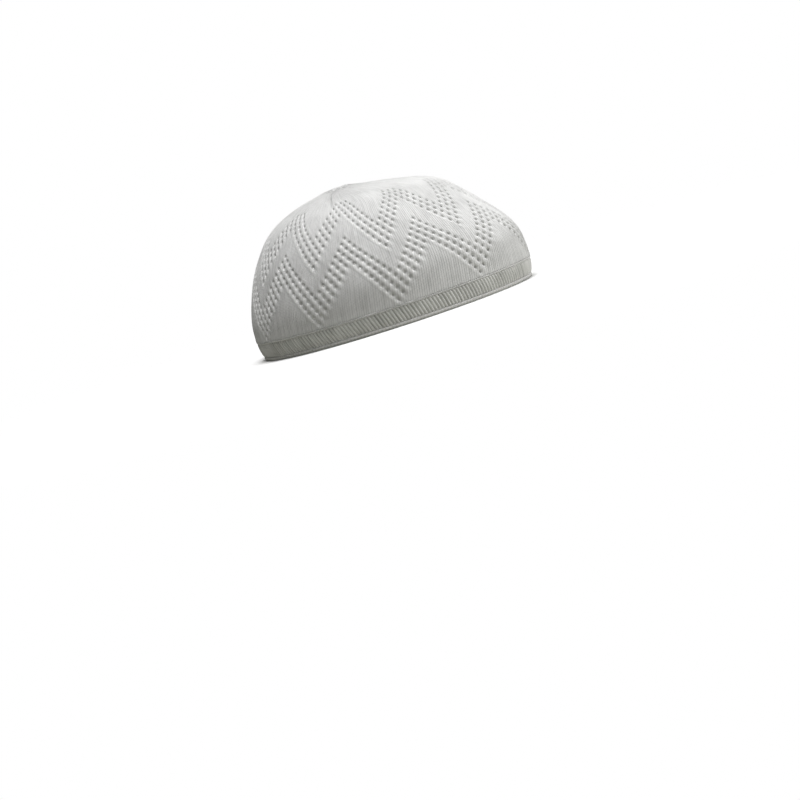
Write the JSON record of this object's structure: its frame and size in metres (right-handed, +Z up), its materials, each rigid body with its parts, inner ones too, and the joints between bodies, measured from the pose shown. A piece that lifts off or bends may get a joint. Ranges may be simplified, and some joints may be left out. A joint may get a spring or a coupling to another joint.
{
  "type": "knitted skull cap",
  "caption": "White knitted skull cap: openwork zigzag crown gathered into a small knot, with a rib band, a linking seam and a folded lower edge.",
  "frame": {"origin": "middle of the opening, in the plane that the folded lower edge rests on", "axes": "+Z up to the knot; +Y towards the back of the head, so the front is at -Y; +X towards the wearer's left"},
  "size_m": [0.1614, 0.2048, 0.1032],
  "materials": {
    "crown_knit": "fine white jersey knit with openwork, matt",
    "rib_knit": "white one by one rib knit, matt",
    "seam_yarn": "white linking yarn, matt",
    "edge_knit": "white knit turned over an edge, matt"
  },
  "bodies": {
    "root": {"crown": "crown_knit", "crown_knot": "crown_knit", "linking_seam": "seam_yarn", "rib_band": "rib_knit", "folded_edge": "edge_knit"}
  },
  "joints": []
}
